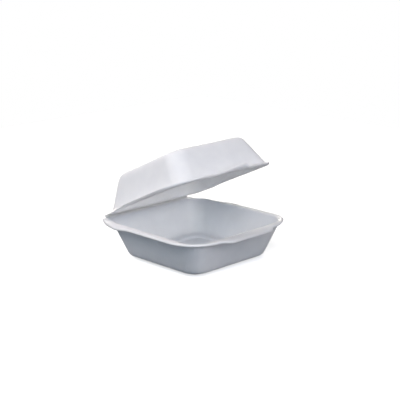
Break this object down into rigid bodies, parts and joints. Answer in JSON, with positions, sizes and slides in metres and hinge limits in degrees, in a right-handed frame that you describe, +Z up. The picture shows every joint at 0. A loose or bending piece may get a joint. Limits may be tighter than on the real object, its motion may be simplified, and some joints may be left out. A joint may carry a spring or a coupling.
{
  "type": "foam clamshell container",
  "caption": "Square hinged takeaway container pressed from white foam: a sloping-walled tray with a rim and pull tongue, and a matching lid that stands part open.",
  "frame": {"origin": "middle of the tray's foot, on the surface it stands on", "axes": "+Z up; the hinge crease lies along X at the back, +Y; the lid opens from the front, -Y, where the pull tongue is"},
  "size_m": [0.1489, 0.1523, 0.1215],
  "materials": {
    "foam": "soft satin foam skin"
  },
  "bodies": {
    "base": {"base_tray": "foam"},
    "lid": {"lid": "foam"}
  },
  "joints": [
    {"name": "lid_hinge", "type": "hinge", "parent": "base", "child": "lid", "pos_m": [0, 0.0732, 0.04], "axis": [-1, 0, 0], "range_deg": [-24.9, 155.1]}
  ]
}
